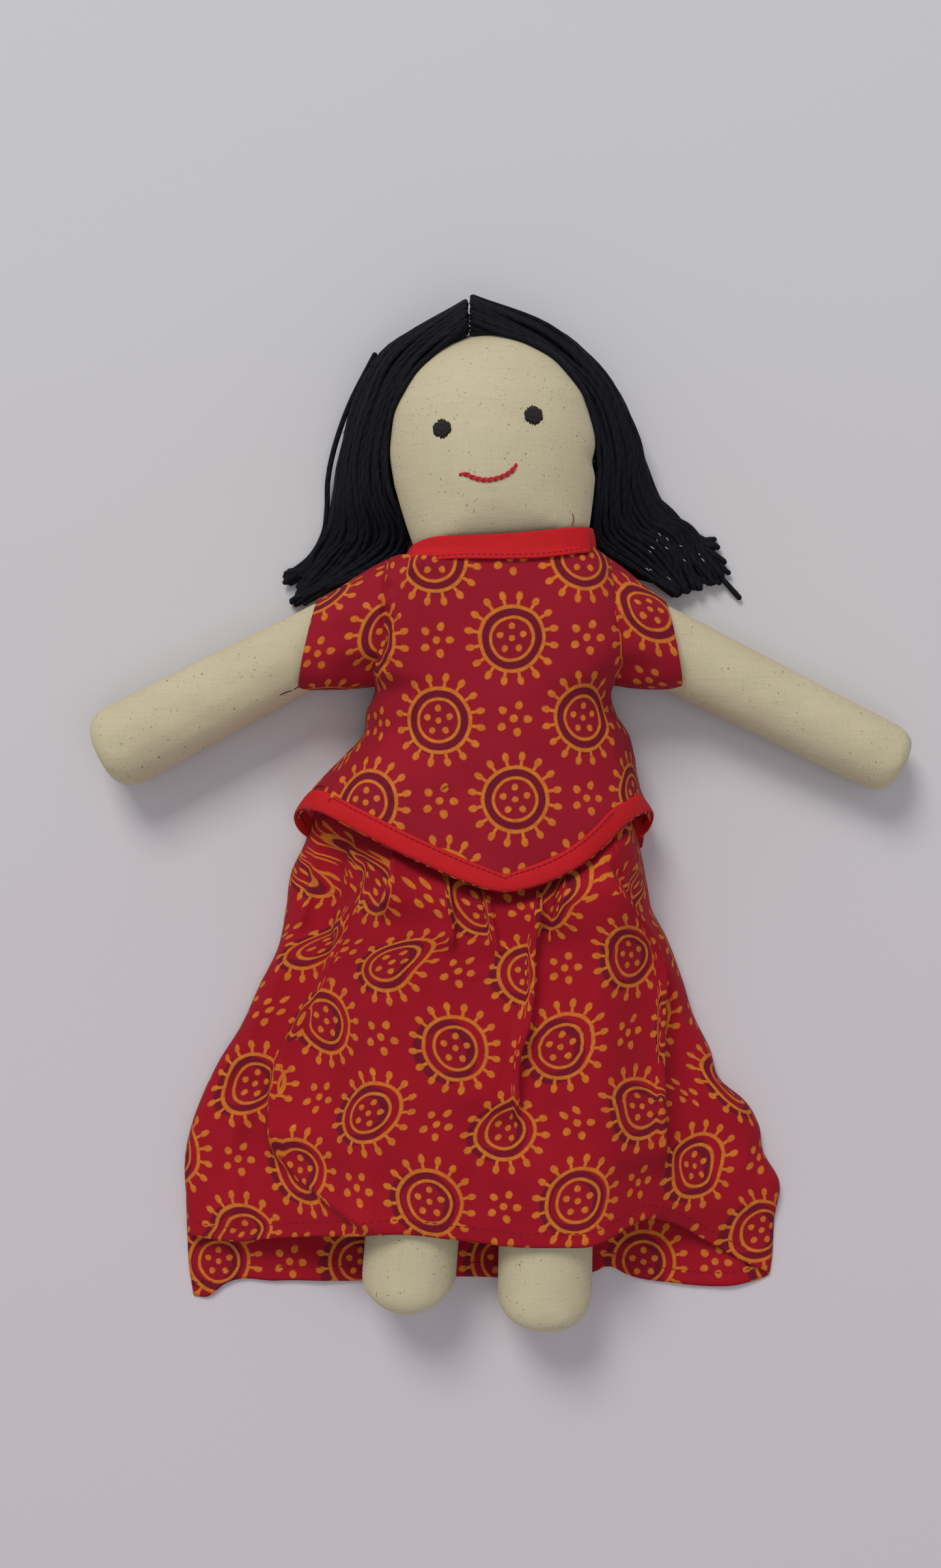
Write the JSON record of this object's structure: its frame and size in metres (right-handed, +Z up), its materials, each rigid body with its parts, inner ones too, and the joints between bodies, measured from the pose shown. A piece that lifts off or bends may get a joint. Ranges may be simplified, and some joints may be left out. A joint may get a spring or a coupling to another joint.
{
  "type": "stuffed cloth doll",
  "caption": "Stuffed cloth doll with yarn hair, embroidered face, block-printed blouse and gathered skirt; head, arms and legs fold at sewn seams.",
  "frame": {"origin": "on the back of the blouse, on the surface that the doll lies on", "axes": "+X to the doll's own left, +Y to the top of its head, +Z up through its front"},
  "size_m": [0.2912, 0.3542, 0.0504],
  "materials": {
    "calico": "unbleached plain-weave cotton, matt",
    "stuffing": "loose polyester fibre",
    "black_floss": "satin stitch in black stranded floss",
    "red_floss": "stem stitch in red stranded floss",
    "yarn": "blue-black knitting yarn",
    "blouse_print": "crimson cotton, block-printed in orange and maroon",
    "skirt_print": "crimson cotton, block-printed in orange and maroon",
    "bias_tape": "plain red cotton bias tape",
    "sewing_thread": "dark red sewing thread",
    "elastic": "white braided elastic",
    "press_stud": "nickel-plated press stud"
  },
  "bodies": {
    "torso": {"torso_front_panel": "calico", "torso_back_panel": "calico", "torso_stuffing": "stuffing", "blouse_front": "blouse_print", "blouse_back_right": "blouse_print", "blouse_back_left": "blouse_print", "back_press_studs": "press_stud", "collar_band": "bias_tape", "collar_topstitching": "sewing_thread", "front_hem_binding": "bias_tape", "back_hem_binding": "bias_tape", "front_hem_topstitching": "sewing_thread", "waist_casing": "skirt_print", "waist_elastic": "elastic"},
    "head": {"head_front_panel": "calico", "head_back_panel": "calico", "head_stuffing": "stuffing", "left_eye": "black_floss", "right_eye": "black_floss", "mouth": "red_floss", "hair_left": "yarn", "hair_right": "yarn", "hair_ends_left": "yarn", "hair_ends_right": "yarn", "parting_thread": "black_floss", "hair_tacks": "black_floss"},
    "left_arm": {"left_arm_cover": "calico", "left_arm_stuffing": "stuffing", "left_sleeve": "blouse_print"},
    "right_arm": {"right_arm_cover": "calico", "right_arm_stuffing": "stuffing", "right_sleeve": "blouse_print"},
    "hips": {"skirt_front": "skirt_print", "skirt_back": "skirt_print", "skirt_hem_stitching": "sewing_thread"},
    "left_leg": {"left_leg_cover": "calico", "left_leg_stuffing": "stuffing"},
    "right_leg": {"right_leg_cover": "calico", "right_leg_stuffing": "stuffing"}
  },
  "joints": [
    {"name": "neck_nod", "type": "hinge", "parent": "torso", "child": "head", "pos_m": [0.008, 0.1018, 0.027], "axis": [1, 0, 0], "range_deg": [0, 45], "deforming": ["collar_band", "collar_topstitching", "hair_ends_left", "hair_ends_right"]},
    {"name": "left_shoulder_lift", "type": "hinge", "parent": "torso", "child": "left_arm", "pos_m": [0.0655, 0.0497, 0.016], "axis": [0, -1, 0], "range_deg": [0, 90], "deforming": ["left_sleeve"]},
    {"name": "right_shoulder_lift", "type": "hinge", "parent": "torso", "child": "right_arm", "pos_m": [-0.0445, 0.054, 0.0156], "axis": [0, 1, 0], "range_deg": [0, 90], "deforming": ["right_sleeve"]},
    {"name": "hip_fold", "type": "hinge", "parent": "torso", "child": "hips", "pos_m": [0.008, -0.062, 0.0177], "axis": [-1, 0, 0], "range_deg": [0, 80], "deforming": ["skirt_front", "skirt_back", "skirt_hem_stitching"]},
    {"name": "left_hip_spread", "type": "hinge", "parent": "hips", "child": "left_leg", "pos_m": [0.0286, -0.062, 0.0177], "axis": [0, 0, 1], "range_deg": [-2, 8]},
    {"name": "right_hip_spread", "type": "hinge", "parent": "hips", "child": "right_leg", "pos_m": [-0.0124, -0.062, 0.0177], "axis": [0, 0, -1], "range_deg": [-2, 8]}
  ]
}
